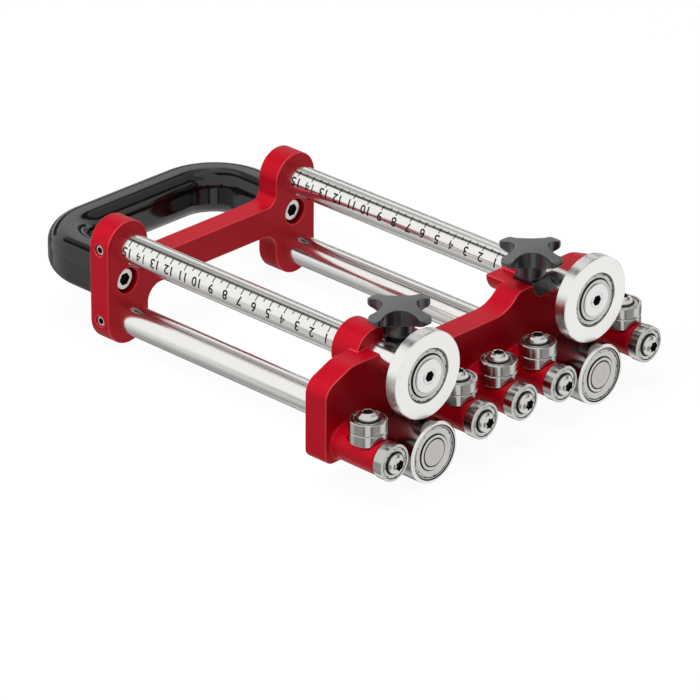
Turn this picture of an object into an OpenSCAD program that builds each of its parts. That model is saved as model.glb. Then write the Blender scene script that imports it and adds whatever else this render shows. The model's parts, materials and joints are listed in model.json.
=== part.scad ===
// Disc sheet metal bender: a hand tool that folds the edge of a sheet between
// two free-running discs and two rollers, with a sliding depth stop on four rods.
// Units are millimetres. +Z is up, the discs face -Y and the handle is at +Y.
// Sizes are worked out about the lower rods' axis height and the scale's zero,
// and every piece is then set down on the floor by place().

/* [Rods and scale] */
// Diameter of the four guide rods
rod_d = 16; // [14:0.5:18]
// Distance between the left and right rods, centre to centre
rod_spacing = 120; // [112:1:140]
// Sheet gap between the rim of a disc and the roller below it
sheet_gap = 1; // [0.6:0.1:3]
// Travel of the carriage, which is the length of the scale
travel = 150; // [80:5:220]
// Bare rod between the last scale mark and the rear bridge
rod_margin = 7; // [4:1:20]

/* [Discs] */
// Diameter of a bending disc
disc_d = 45; // [40:0.5:50]
// Width of the chamfer on a disc's edges
disc_chamfer = 0.5; // [0.2:0.1:1]
// Distance from the front of the carriage plate to the front of the discs
disc_lead = 25.9; // [22:0.1:30]
// Diameter of the cap screw that holds a disc on its rod
cap_d = 17.4; // [16:0.2:19]
// Thickness of that cap
cap_t = 0.8; // [0.6:0.1:2.5]
// Hex socket across flats in the cap
cap_socket = 5; // [4:0.5:6]

/* [Rollers] */
// Diameter of a lower roller
roller_d = 32; // [30:0.5:36]
// Length of a lower roller
roller_l = 25; // [20:0.5:26]
// How far the rollers' front faces stand ahead of the discs
roller_lead = 4.9; // [3:0.1:8]

/* [Large bearings] */
// Bore of the bearings in discs and rollers
big_bore = 15; // [12:0.5:15.5]
// Outer diameter of those bearings
big_od = 28; // [26:0.5:28.5]
// Width of those bearings
big_w = 7; // [6:0.5:8]

/* [Small bearings] */
// Bore of the bearings on the arms, which is their screw diameter
small_bore = 6; // [4:0.5:7]
// Outer diameter of the bearings on the arms
small_od = 19; // [17:0.5:20]
// Width of the bearings on the arms
small_w = 6; // [5:0.5:7]
// Height of the button heads that hold them
button_h = 3.3; // [2.5:0.1:4]
// Diameter of the button heads
button_d = 10.5; // [9:0.5:11.5]

/* [Arms] */
// Diameter of an arm
arm_d = 18; // [16:0.5:19]
// Length of an arm ahead of the plate
arm_l = 28.1; // [26:0.1:34]
// Radius of the fillet round an arm's foot
arm_foot = 2; // [1:0.2:2.4]
// Height of the arms above the lower rods' axis
arm_rise = 7; // [5:0.5:9]
// Distance from an outer arm's axis to the plate's side
arm_edge = 12; // [10:0.5:14]
// Distance from an arm's axis to the rod beside it
arm_offset = 31.5; // [29:0.5:34]
// Height of the face on which a bearing's inner ring seats
seat_h = 0.5; // [0.3:0.1:1]
// Depth of the stack seat's floor below an arm's top
seat_cut = 3.5; // [2.5:0.5:4]

/* [Carriage] */
// Thickness of the carriage plate
plate_t = 14; // [12:0.5:16]
// Height of the plate's crown above the upper rods' axis
crown_rise = 4.9; // [4:0.1:6]
// Drop from the crown to the middle saddle
saddle_drop = 8.5; // [6:0.5:10]
// Depth of the plate below the lower rods' axis
sole_drop = 3.2; // [3:0.1:5]
// Radius of the lower rods' bosses
lower_boss_r = 12.5; // [11.5:0.5:14]
// Radius of the upper rods' bosses
boss_r = 13.8; // [12.5:0.1:15]
// Length of those bosses behind the plate
boss_l = 12; // [10:0.5:16]
// How far those bosses run into the plate's own thickness
boss_lap = 5; // [3:0.5:8]
// Radius of the clamp ear beside each boss
ear_r = 11; // [9:0.5:12]

/* [Star knobs] */
// Distance of a knob's axis inboard of its rod
knob_inset = 13; // [12.8:0.1:14]
// Distance of a knob's axis ahead of the bosses' rear faces
knob_lead = 20; // [18:0.5:21]
// Radius over the knob's four lobes
star_r = 19.4; // [17:0.2:22]
// Radius at the waist between two lobes
waist_r = 8.2; // [7.6:0.1:9.4]
// Radius of the lobes' corners
lobe_round = 2.6; // [1.4:0.1:3]
// Thickness of a lobe at its end
lobe_t = 4; // [3.4:0.1:5]
// Height of the lobes' ends above the hub's underside
lobe_lift = 2.8; // [1.6:0.1:3.4]
// Thickness of the star in its middle
star_t = 9.5; // [8.6:0.1:11]
// Clearance of the turning star over the bosses
star_gap = 1; // [0.3:0.1:3]
// Diameter of the collar under the star
collar_d = 15.2; // [13:0.2:15.6]
// Height of the steel bush between the collar and the clamp sleeve
bush_h = 1.7; // [1.2:0.1:2.2]
// Diameter of the knob's stud
stud_d = 6; // [5:0.5:7]
// Length of the stud in the plate
stud_grip = 10; // [8:1:14]
// Clearance of the spotface round the collar
spotface_gap = 0.6; // [0.4:0.1:1]

/* [Clamp sleeves] */
// Diameter of the half-round clamp sleeve beside each rod
sleeve_d = 16.2; // [15:0.2:17]
// Distance of the clamp sleeve's axis inboard of the rod
sleeve_inset = 9.5; // [9:0.1:10.5]
// Height of the clamp sleeve's axis above the crown
sleeve_rise = 0.5; // [0:0.1:1]
// Height of the clamp sleeve's flat above the crown
sleeve_proud = 1.5; // [1.2:0.1:2]

/* [Rear bridge] */
// Thickness of the rear bridge
bridge_t = 13; // [11:0.5:18]
// Radius of the lugs round the rods
lug_r = 14; // [12.5:0.5:15]
// Height of the crossbar
bar_h = 16; // [12:0.5:18]
// Height of crossbar and handle above the middle of the rods
bar_rise = 0.75; // [0:0.25:1.5]
// Fillet under the crossbar
fillet_low = 9; // [5:0.5:10]
// Fillet over the crossbar
fillet_high = 6; // [3:0.5:8]
// Diameter of the set screws that hold the rods
set_screw_d = 6; // [5:0.5:8]

/* [Handle] */
// Width of the handle's section
handle_w = 22; // [18:0.5:26]
// Height of the handle's section
handle_h = 25; // [20:0.5:28]
// Corner radius of the handle's section
handle_round = 9; // [6:0.5:8.9]
// Distance from the bridge to the middle of the grip
handle_reach = 47; // [44:1:70]
// Bend radius of the handle's middle line
handle_bend = 27; // [20:1:40]
// Diameter of the handle screws
handle_screw_d = 8; // [6:0.5:8]
// Diameter of the handle screws' heads
handle_head_d = 12; // [11:0.5:13]
// Height of the handle screws' heads
handle_head_h = 6; // [5:0.5:7]
// Depth of their counterbores
counterbore_depth = 8.5; // [8:0.5:10]

/* [Fits] */
// Radial clearance where the carriage slides on the rods
slide_clear = 0.05; // [0.02:0.01:0.1]
// Radial clearance between parts that turn in one another
run_clear = 0.05; // [0.02:0.01:0.1]
// Radial clearance of seated pieces, such as screws and rods in the bridge
seat_clear = 0.02; // [0.01:0.01:0.05]

/* [Hidden] */
$fn = 64;
SIDES = ["left", "right"];
side_x = [-1, 1];

// Heights
upper_z = disc_d / 2 + roller_d / 2 + sheet_gap;
mid_z = upper_z / 2 + bar_rise;
crown_z = upper_z + crown_rise;
saddle_z = crown_z - saddle_drop;
star_z = upper_z + boss_r + star_gap;
sleeve_z = crown_z + sleeve_rise;
bush_z = crown_z + sleeve_proud + 0.1;
collar_z = bush_z + bush_h;
stud_z = sleeve_z - sleeve_d / 2 - stud_grip;

// Places along the rods: the scale's zero is at the bosses' rear faces
plate_rear = -boss_l;
plate_front = plate_rear - plate_t;
disc_front = plate_front - disc_lead;
disc_rear = disc_front + big_w;
roller_front = disc_front - roller_lead;
roller_rear = roller_front + roller_l;
arm_end = plate_front - arm_l;
front_bearing = arm_end - seat_h;
nose = front_bearing - small_w - button_h;
stack_y = disc_front + small_od / 2;
knob_y = -knob_lead;
bridge_front = travel + rod_margin;
bridge_rear = bridge_front + bridge_t;
grip_y = bridge_rear + handle_reach;
tail = grip_y + handle_w / 2;

// Places across
rod_x = rod_spacing / 2;
arm_xs = [-rod_x - arm_offset, arm_offset - rod_x, 0, rod_x - arm_offset, rod_x + arm_offset];
plate_w = 2 * (rod_x + arm_offset + arm_edge);
stack_seat = arm_d / 2 - seat_cut;
knob_x = rod_x - knob_inset;
sleeve_x = rod_x - sleeve_inset;

// Set the origin at the middle of the box's bottom
mid_y = (nose + tail) / 2;
floor_z = max(roller_d / 2, lug_r, lower_boss_r);

// Bearing proportions
big_inner_r = big_bore / 2 + 3;
big_outer_r = big_od / 2 - 1.7;
small_inner_r = small_bore / 2 + 1.9;
small_outer_r = small_od / 2 - 1.6;
shield_recess = 0.4;
ring_chamfer = 0.4;

red = [0.76, 0.09, 0.15];
steel = [0.78, 0.78, 0.76];
bright = [0.86, 0.86, 0.84];
black = [0.09, 0.09, 0.1];
grey = [0.22, 0.22, 0.23];

// Set a piece down on the floor, in the middle of the whole tool
module place() translate([0, -mid_y, floor_z]) children();

// Turn a piece that is drawn upwards so that it points forwards from a spot
module forward(spot) translate(spot) rotate([90, 0, 0]) children();

// Outline with rounded corners: each point is [x, y, corner radius]
function unit(v) = v / norm(v);
function flat_point(p) = [p.x, p.y];
function corner_arc(a, b, c, r, steps) =
    let (u = unit(a - b), w = unit(c - b), half = acos(u * w) / 2)
    let (centre = b + unit(u + w) * r / sin(half), from = b + u * r / tan(half) - centre)
    let (to = b + w * r / tan(half) - centre, start = atan2(from.y, from.x))
    let (sweep = (atan2(to.y, to.x) - start + 540) % 360 - 180)
    [for (i = [0:steps]) centre + r * [cos(start + sweep * i / steps), sin(start + sweep * i / steps)]];
function rounded(points, steps = 8) = [for (i = [0:len(points) - 1])
    let (before = points[(i + len(points) - 1) % len(points)], after = points[(i + 1) % len(points)])
    each (points[i][2] > 0
        ? corner_arc(flat_point(before), flat_point(points[i]), flat_point(after), points[i][2], steps)
        : [flat_point(points[i])])];

// A rectangle about the origin with round corners
module soft_rect(w, h, r) {
    square([w - 2 * r, h], center = true);
    square([w, h - 2 * r], center = true);
    for (x = [-1, 1], y = [-1, 1])
        translate([x * (w / 2 - r), y * (h / 2 - r)]) circle(r);
}

// The concave fillet that fills a corner pointing to +x and +y
module inside_fillet(r) difference() {
    translate([-0.01, -0.01]) square(r + 0.01);
    translate([r, r]) circle(r);
}

// Straight round bar with chamfered ends
module bar(d, l, chamfer = 0.5) rotate_extrude()
    polygon([[0, 0], [d / 2 - chamfer, 0], [d / 2, chamfer], [d / 2, l - chamfer],
        [d / 2 - chamfer, l], [0, l]]);

// Outer ring of a shielded bearing, with both shields in it
module outer_ring(od, w, inner_r, outer_r) rotate_extrude() polygon([
    [inner_r + run_clear, shield_recess], [outer_r, shield_recess], [outer_r, 0],
    [od / 2 - ring_chamfer, 0], [od / 2, ring_chamfer], [od / 2, w - ring_chamfer],
    [od / 2 - ring_chamfer, w], [outer_r, w], [outer_r, w - shield_recess],
    [inner_r + run_clear, w - shield_recess]]);

// Inner ring of the same bearing
module inner_ring(bore, w, inner_r) rotate_extrude() polygon([
    [bore / 2 + seat_clear, ring_chamfer], [bore / 2 + seat_clear + ring_chamfer, 0],
    [inner_r, 0], [inner_r, w],
    [bore / 2 + seat_clear + ring_chamfer, w], [bore / 2 + seat_clear, w - ring_chamfer]]);

// Button-head screw, head upwards from its seat at the origin
module button_screw(d, l) {
    socket = d * 0.62;
    difference() {
        union() {
            translate([0, 0, -l]) cylinder(d = d, h = l);
            rotate_extrude() polygon(concat([[0, 0]],
                [for (i = [0:8]) [button_d / 2 * cos(i * 7.5), button_h / sin(60) * sin(i * 7.5)]],
                [[0, button_h]]));
        }
        translate([0, 0, button_h * 0.45]) cylinder(d = socket, h = button_h, $fn = 6);
    }
}

// Socket cap screw, head upwards from its seat at the origin
module cap_screw(d, l, head_d, head_h, socket) difference() {
    union() {
        translate([0, 0, -l]) cylinder(d = d, h = l);
        bar(head_d, head_h);
    }
    translate([0, 0, head_h * 0.5]) cylinder(d = socket / cos(30), h = head_h, $fn = 6);
}

// Rear bridge: an H-shaped plate, two lugs joined by a crossbar
module lug_outline() {
    translate([-lug_r, 0]) square([2 * lug_r, upper_z]);
    circle(lug_r);
    translate([0, upper_z]) circle(lug_r);
}
module bridge_outline() {
    inner_x = rod_x - lug_r;
    for (side = side_x) {
        translate([side * rod_x, 0]) lug_outline();
        translate([side * inner_x, mid_z - bar_h / 2])
            mirror([side > 0 ? 1 : 0, 0]) mirror([0, 1]) inside_fillet(fillet_low);
        translate([side * inner_x, mid_z + bar_h / 2])
            mirror([side > 0 ? 1 : 0, 0]) inside_fillet(fillet_high);
    }
    translate([-inner_x, mid_z - bar_h / 2]) square([2 * inner_x, bar_h]);
}
module rear_bridge() color(red) place() difference() {
    forward([0, bridge_rear, 0]) linear_extrude(bridge_t) bridge_outline();
    for (side = side_x) {
        for (z = [0, upper_z]) {
            forward([side * rod_x, bridge_rear + 1, z])
                cylinder(r = rod_d / 2 + seat_clear, h = bridge_t + 2);
            translate([side * rod_x, bridge_front + bridge_t / 2, z]) rotate([0, side * 90, 0])
                cylinder(r = set_screw_d / 2 + seat_clear, h = lug_r + 1);
        }
        forward([side * rod_x, bridge_rear + 1, mid_z])
            cylinder(r = handle_screw_d / 2 + 0.25, h = bridge_t + 2);
        forward([side * rod_x, bridge_front + counterbore_depth, mid_z])
            cylinder(r = handle_head_d / 2 + 1, h = counterbore_depth + 1);
    }
}

// Handle: one moulded loop of round-cornered section on two legs
insert_r = handle_screw_d / 2 + 2;
insert_l = 18;
module handle() color(black) place() difference() {
    translate([0, 0, mid_z]) union() {
        for (side = side_x) {
            forward([side * rod_x, grip_y - handle_bend, 0])
                linear_extrude(handle_reach - handle_bend) soft_rect(handle_w, handle_h, handle_round);
            translate([side * (rod_x - handle_bend), grip_y - handle_bend, 0])
                rotate([0, 0, side > 0 ? 0 : 90]) rotate_extrude(angle = 90)
                translate([handle_bend, 0]) soft_rect(handle_w, handle_h, handle_round);
        }
        translate([handle_bend - rod_x, grip_y, 0]) rotate([90, 0, 90])
            linear_extrude(2 * (rod_x - handle_bend)) soft_rect(handle_w, handle_h, handle_round);
    }
    for (side = side_x)
        forward([side * rod_x, bridge_rear + insert_l, mid_z])
            cylinder(r = insert_r + seat_clear, h = insert_l + 1);
}
module handle_inserts() color("goldenrod") place() for (side = side_x)
    forward([side * rod_x, bridge_rear + insert_l, mid_z]) difference() {
        cylinder(r = insert_r, h = insert_l);
        translate([0, 0, -1]) cylinder(r = handle_screw_d / 2 + seat_clear, h = insert_l + 2);
    }
module handle_screws() color(steel) place() for (side = side_x)
    forward([side * rod_x, bridge_front + counterbore_depth, mid_z])
        cap_screw(handle_screw_d, bridge_t - counterbore_depth + insert_l - 3,
            handle_head_d, handle_head_h, handle_screw_d * 0.7);
module rod_set_screws() color(steel) place() for (side = side_x, z = [0, upper_z])
    translate([side * (rod_x + rod_d / 2 + seat_clear), bridge_front + bridge_t / 2, z])
        rotate([0, side * 90, 0]) difference() {
            bar(set_screw_d, lug_r - rod_d / 2 - 1);
            translate([0, 0, 2]) cylinder(d = set_screw_d * 0.55, h = lug_r, $fn = 6);
        }

// Guide rods: ground bars, turned down in front to carry a bearing
journal_r = big_bore / 2;
cap_stem_r = cap_socket * 0.8;
module upper_rod(side) color(steel) place() difference() {
    union() {
        forward([side * rod_x, bridge_rear, upper_z]) bar(rod_d, bridge_rear - disc_rear);
        forward([side * rod_x, disc_rear + 1, upper_z]) cylinder(r = journal_r, h = big_w + 1);
    }
    forward([side * rod_x, disc_front + 2 * big_w, upper_z])
        cylinder(r = cap_stem_r + seat_clear, h = 2 * big_w + 1);
}
module lower_rod(side) color(steel) place() {
    forward([side * rod_x, bridge_rear, 0]) bar(rod_d, bridge_rear - roller_rear);
    forward([side * rod_x, roller_rear + 1, 0]) bar(big_bore, roller_l + 1, 0.4);
}

// Discs: each runs on one shielded bearing and is held by a flat cap screw
module disc(side) color(bright) place() forward([side * rod_x, disc_rear, upper_z])
    difference() {
        bar(disc_d, big_w, disc_chamfer);
        translate([0, 0, -1]) cylinder(r = big_od / 2 + seat_clear, h = big_w + 2);
    }
module disc_outer_ring(side) color(steel) place() forward([side * rod_x, disc_rear, upper_z])
    outer_ring(big_od, big_w, big_inner_r, big_outer_r);
module disc_inner_ring(side) color(steel) place() forward([side * rod_x, disc_rear, upper_z])
    inner_ring(big_bore, big_w, big_inner_r);
module disc_cap(side) color(bright) place() forward([side * rod_x, disc_front, upper_z])
    difference() {
        union() {
            bar(cap_d, cap_t, 0.3);
            translate([0, 0, -2 * big_w + 1]) cylinder(r = cap_stem_r, h = 2 * big_w);
        }
        translate([0, 0, -3]) cylinder(d = cap_socket / cos(30), h = cap_t + 4, $fn = 6);
    }

// Rollers: tubes on two shielded bearings each
module roller(side) color(bright) place() forward([side * rod_x, roller_rear, 0])
    difference() {
        bar(roller_d, roller_l, 0.8);
        translate([0, 0, -1]) cylinder(r = big_od / 2 - 1.5, h = roller_l + 2);
        for (z = [-1, roller_l - big_w])
            translate([0, 0, z]) cylinder(r = big_od / 2 + seat_clear, h = big_w + 1);
    }
module roller_outer_rings(side) color(steel) place() forward([side * rod_x, roller_rear, 0])
    for (z = [0, roller_l - big_w])
        translate([0, 0, z]) outer_ring(big_od, big_w, big_inner_r, big_outer_r);
module roller_inner_rings(side) color(steel) place() forward([side * rod_x, roller_rear, 0])
    for (z = [0, roller_l - big_w])
        translate([0, 0, z]) inner_ring(big_bore, big_w, big_inner_r);

// Carriage: a milled plate with bosses, clamp ears and sleeve grooves
function plate_half(s) = [
    [s * (plate_w / 2), -sole_drop, 5], [s * (plate_w / 2), crown_z - 7.4, 9],
    [s * (plate_w / 2 - 17.5), crown_z, 16], [s * (rod_x - 27.5), crown_z, 7],
    [s * (rod_x - 27.5 - saddle_drop), saddle_z, 20]];
function backwards(list) = [for (i = [len(list) - 1:-1:0]) list[i]];
module plate_outline() polygon(rounded(concat(plate_half(1), backwards(plate_half(-1)))));
module lower_boss_outline() {
    circle(lower_boss_r);
    // Two fillets lead the boss into the plate's sole
    lead_r = 5;
    lead_x = sqrt(pow(lower_boss_r + lead_r, 2) - pow(sole_drop + lead_r, 2));
    for (side = side_x) difference() {
        polygon([[0, -sole_drop + 1], [side * lead_x, -sole_drop + 1], [side * lead_x, -sole_drop],
            [side * lead_x * lower_boss_r / (lower_boss_r + lead_r),
                -(sole_drop + lead_r) * lower_boss_r / (lower_boss_r + lead_r)], [0, -sole_drop - 1]]);
        translate([side * lead_x, -sole_drop - lead_r]) circle(lead_r);
    }
}
module ear_outline() intersection() {
    circle(ear_r);
    translate([-ear_r, -ear_r]) square([2 * ear_r, ear_r]);
}
module carriage_blank() {
    // Plate and ears, with a half-round groove beside each upper rod
    difference() {
        union() {
            forward([0, plate_rear, 0]) linear_extrude(plate_t) union() {
                plate_outline();
                for (side = side_x) translate([side * rod_x, 0]) lower_boss_outline();
            }
            for (side = side_x)
                forward([side * knob_x, 0, crown_z]) linear_extrude(boss_l + 1) ear_outline();
        }
        for (side = side_x)
            forward([side * sleeve_x, plate_rear, sleeve_z])
                cylinder(r = sleeve_d / 2 + seat_clear, h = plate_t + 1);
    }
    // Round bosses for the upper rods, cut back round the knobs' collars
    for (side = side_x) difference() {
        forward([side * rod_x, 0, upper_z]) cylinder(r = boss_r, h = boss_l + boss_lap);
        translate([side * knob_x, knob_y, crown_z])
            cylinder(r = collar_d / 2 + spotface_gap, h = 2 * boss_r);
    }
}
module carriage_body() color(red) place() difference() {
    carriage_blank();
    for (side = side_x) {
        for (z = [0, upper_z])
            forward([side * rod_x, 1, z])
                cylinder(r = rod_d / 2 + slide_clear, h = boss_l + plate_t + 2);
        // Thread for the knob's stud
        translate([side * knob_x, knob_y, stud_z - 1])
            cylinder(r = stud_d / 2 + run_clear, h = crown_z - stud_z);
    }
    // Holes and counterbores for the arm screws
    for (x = arm_xs) {
        forward([x, plate_rear + 1, arm_rise]) cylinder(r = small_bore / 2 + 0.2, h = plate_t + 2);
        forward([x, plate_rear + 1, arm_rise]) cylinder(r = arm_head_d / 2 + 0.4, h = arm_head_h + 1.5);
    }
}

// Clamp sleeves: half-round bars with a flat for the knob, scalloped to the rod
module clamp_sleeves() color(steel) place() for (side = side_x) difference() {
    forward([side * sleeve_x, plate_rear - 0.1, sleeve_z]) difference() {
        bar(sleeve_d, plate_t + 0.2, 0.6);
        translate([-sleeve_d, sleeve_proud - sleeve_rise, -1])
            cube([2 * sleeve_d, sleeve_d, plate_t + 3]);
    }
    forward([side * rod_x, 1, upper_z]) cylinder(r = rod_d / 2 + slide_clear, h = 3 - plate_front);
    forward([side * rod_x, 1, upper_z]) cylinder(r = boss_r + 0.1, h = boss_l + boss_lap + 1.1);
    translate([side * knob_x, knob_y, sleeve_z - sleeve_d])
        cylinder(r = stud_d / 2 + run_clear, h = 2 * sleeve_d);
}

// Arms: turned bars with a milled seat on top for the upright bearing stack
arm_head_d = 10;
arm_head_h = 6;
arm_thread = 12;
front_thread = 7.5;
stack_thread = 10;
module arm(i) color(red) place() difference() {
    union() {
        difference() {
            forward([arm_xs[i], plate_front, arm_rise]) union() {
                bar(arm_d, arm_l, 0.6);
                // The foot's fillet stops at the plate's sole
                intersection() {
                    rotate_extrude() difference() {
                        square([arm_d / 2 + arm_foot, arm_foot]);
                        translate([arm_d / 2 + arm_foot, arm_foot]) circle(arm_foot);
                    }
                    translate([-arm_d, -arm_rise - sole_drop + 0.5, -1])
                        cube([2 * arm_d, 2 * arm_d, arm_d]);
                }
            }
            translate([arm_xs[i], stack_y, arm_rise + stack_seat])
                cylinder(r = small_od / 2 + 0.5, h = arm_d);
        }
        forward([arm_xs[i], arm_end + 1, arm_rise]) cylinder(r = small_inner_r, h = seat_h + 1);
        translate([arm_xs[i], stack_y, arm_rise + stack_seat - 1])
            cylinder(r = small_inner_r, h = seat_h + 1);
    }
    forward([arm_xs[i], arm_end + front_thread, arm_rise])
        cylinder(r = small_bore / 2 + seat_clear, h = front_thread + seat_h + 1);
    translate([arm_xs[i], stack_y, arm_rise + stack_seat + seat_h - stack_thread])
        cylinder(r = small_bore / 2 + seat_clear, h = stack_thread + 1);
    forward([arm_xs[i], plate_front + 1, arm_rise])
        cylinder(r = small_bore / 2 + seat_clear, h = arm_thread + 1);
}
module arm_screws() color(steel) place() for (x = arm_xs)
    translate([x, plate_rear - arm_head_h - 0.5, arm_rise]) rotate([-90, 0, 0])
        cap_screw(small_bore, plate_t - arm_head_h - 0.5 + arm_thread - 1, arm_head_d, arm_head_h, 5);

// Small bearings: one on each arm's end, two stacked on its seat
stack_z = arm_rise + stack_seat + seat_h;
module front_bearing(i) color(steel) place() forward([arm_xs[i], front_bearing, arm_rise])
    outer_ring(small_od, small_w, small_inner_r, small_outer_r);
module stack_bearing(i, level) color(steel) place()
    translate([arm_xs[i], stack_y, stack_z + level * small_w + 0.05 * level])
        outer_ring(small_od, small_w - 0.05, small_inner_r, small_outer_r);
module front_inner_rings() color(steel) place() for (x = arm_xs)
    forward([x, front_bearing, arm_rise]) inner_ring(small_bore, small_w, small_inner_r);
module stack_inner_rings() color(steel) place() for (x = arm_xs, level = [0, 1])
    translate([x, stack_y, stack_z + level * small_w])
        inner_ring(small_bore, small_w, small_inner_r);
module front_screws() color(bright) place() for (x = arm_xs)
    forward([x, front_bearing - small_w, arm_rise])
        button_screw(small_bore, small_w + seat_h + front_thread - 0.5);
module stack_screws() color(bright) place() for (x = arm_xs)
    translate([x, stack_y, stack_z + 2 * small_w])
        button_screw(small_bore, 2 * small_w + stack_thread - 0.5);

// Star knobs: a moulded four-lobed star with its collar on a steel stud
// A waist circle cuts between each two lobes, and a round joins it to the lobe's end
waist_x = (pow(0.93 * star_r, 2) - pow(waist_r, 2)) / (2 * (0.93 * star_r * cos(31) - waist_r));
waist_cut = waist_x - waist_r;
round_at = star_r - lobe_round;
round_turn = acos((pow(round_at, 2) + pow(waist_x, 2) - pow(waist_cut + lobe_round, 2))
    / (2 * waist_x * round_at));
module lobe_corner() {
    middle = round_at * [cos(round_turn), sin(round_turn)];
    polygon([middle, [waist_x, 0], [star_r + 3, 0], middle * (star_r + 3) / round_at]);
}
module star_outline() {
    difference() {
        circle(star_r);
        for (a = [45:90:315]) rotate([0, 0, a]) {
            translate([waist_x, 0]) circle(waist_cut);
            for (flip = [0, 1]) mirror([0, flip]) lobe_corner();
        }
    }
    for (a = [45:90:315], way = side_x)
        rotate([0, 0, a + way * round_turn]) translate([round_at, 0]) circle(lobe_round);
}
module star() intersection() {
    linear_extrude(star_t) star_outline();
    rotate_extrude() polygon([[0, 0], [collar_d / 2 + 1.6, 0], [star_r - 1.6, lobe_lift],
        [star_r - 0.5, lobe_lift + 0.4], [star_r, lobe_lift + 1.2],
        [star_r, lobe_lift + lobe_t - 1.4], [star_r - 0.6, lobe_lift + lobe_t - 0.5],
        [star_r - 2, lobe_lift + lobe_t], [waist_r + 1, star_t - 0.7],
        [waist_r / 2, star_t - 0.15], [0, star_t]]);
}
module knob(side) color(grey) place() translate([side * knob_x, knob_y, 0]) difference() {
    union() {
        translate([0, 0, collar_z]) cylinder(d = collar_d, h = star_z - collar_z);
        translate([0, 0, star_z]) star();
    }
    translate([0, 0, collar_z - 1]) cylinder(r = stud_d / 2 + seat_clear, h = star_z - collar_z + 1);
}
module knob_stud(side) color(steel) place() translate([side * knob_x, knob_y, 0]) {
    translate([0, 0, stud_z]) bar(stud_d, star_z - stud_z);
    translate([0, 0, bush_z]) cylinder(d = collar_d - 3, h = bush_h);
}

rear_bridge();
handle();
handle_inserts();
handle_screws();
rod_set_screws();
for (s = [0, 1]) {
    upper_rod(side_x[s]);
    lower_rod(side_x[s]);
    disc_cap(side_x[s]);
    disc_inner_ring(side_x[s]);
    disc(side_x[s]);
    disc_outer_ring(side_x[s]);
    roller(side_x[s]);
    roller_inner_rings(side_x[s]);
    roller_outer_rings(side_x[s]);
    knob(side_x[s]);
    knob_stud(side_x[s]);
}
carriage_body();
clamp_sleeves();
for (i = [0:4]) {
    arm(i);
    front_bearing(i);
    stack_bearing(i, 0);
    stack_bearing(i, 1);
}
arm_screws();
front_screws();
stack_screws();
front_inner_rings();
stack_inner_rings();
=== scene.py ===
# Disc sheet metal bender: two free discs over two rollers on four guide rods,
# with a sliding carriage of five bearing arms and a D handle behind.
import json
import math

import bmesh
import bpy
from mathutils import Matrix, Vector

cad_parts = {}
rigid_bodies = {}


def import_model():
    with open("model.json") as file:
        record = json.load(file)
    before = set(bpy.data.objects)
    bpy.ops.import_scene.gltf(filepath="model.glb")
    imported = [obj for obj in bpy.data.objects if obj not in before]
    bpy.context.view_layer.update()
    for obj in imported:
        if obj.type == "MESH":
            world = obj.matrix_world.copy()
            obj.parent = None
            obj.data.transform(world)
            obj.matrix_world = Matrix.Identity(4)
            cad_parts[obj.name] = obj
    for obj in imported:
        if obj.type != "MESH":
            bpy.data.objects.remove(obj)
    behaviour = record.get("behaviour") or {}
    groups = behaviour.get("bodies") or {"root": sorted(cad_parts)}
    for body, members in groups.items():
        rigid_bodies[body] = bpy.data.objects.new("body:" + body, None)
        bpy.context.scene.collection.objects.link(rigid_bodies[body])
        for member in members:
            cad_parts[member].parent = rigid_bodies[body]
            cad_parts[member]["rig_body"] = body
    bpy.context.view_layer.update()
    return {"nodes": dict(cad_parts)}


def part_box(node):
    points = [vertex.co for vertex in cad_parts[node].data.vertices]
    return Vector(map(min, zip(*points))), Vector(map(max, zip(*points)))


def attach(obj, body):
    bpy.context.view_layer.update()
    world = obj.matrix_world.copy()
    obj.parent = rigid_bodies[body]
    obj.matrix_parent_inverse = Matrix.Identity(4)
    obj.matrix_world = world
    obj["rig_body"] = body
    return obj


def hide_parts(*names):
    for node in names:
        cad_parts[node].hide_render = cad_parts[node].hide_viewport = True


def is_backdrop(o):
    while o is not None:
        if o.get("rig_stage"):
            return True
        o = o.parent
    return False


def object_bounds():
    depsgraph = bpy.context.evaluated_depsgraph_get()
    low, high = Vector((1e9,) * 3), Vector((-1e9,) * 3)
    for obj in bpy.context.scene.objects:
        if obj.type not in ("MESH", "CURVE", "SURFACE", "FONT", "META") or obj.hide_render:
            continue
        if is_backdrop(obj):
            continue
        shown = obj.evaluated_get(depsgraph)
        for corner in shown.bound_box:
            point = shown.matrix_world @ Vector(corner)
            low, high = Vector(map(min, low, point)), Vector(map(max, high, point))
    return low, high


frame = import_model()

nodes = frame["nodes"]

# Studio: a pale table in a white room, lit softly from above and from the left.
# Grey cards, which only polished metal sees, hang round the table and overhead,
# as a photographer hangs them to draw dark edges on bright steel.
scene = bpy.context.scene
scene.view_settings.view_transform = "Standard"

camera_place = (-1.68340, -1.65593, 1.14985)
camera_heading, camera_dip, camera_roll = -45.88, 25.91, 0.38
lens = bpy.data.cameras.new("camera")
lens.lens = 266.4
lens.sensor_width = 36
lens.clip_start, lens.clip_end = 0.1, 50
camera = bpy.data.objects.new("camera", lens)
camera.matrix_world = (
    Matrix.Translation(camera_place)
    @ Matrix.Rotation(math.radians(camera_heading), 4, "Z")
    @ Matrix.Rotation(math.radians(90 - camera_dip), 4, "X")
    @ Matrix.Rotation(math.radians(camera_roll), 4, "Z")
)
scene.collection.objects.link(camera)
scene.camera = camera

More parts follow.
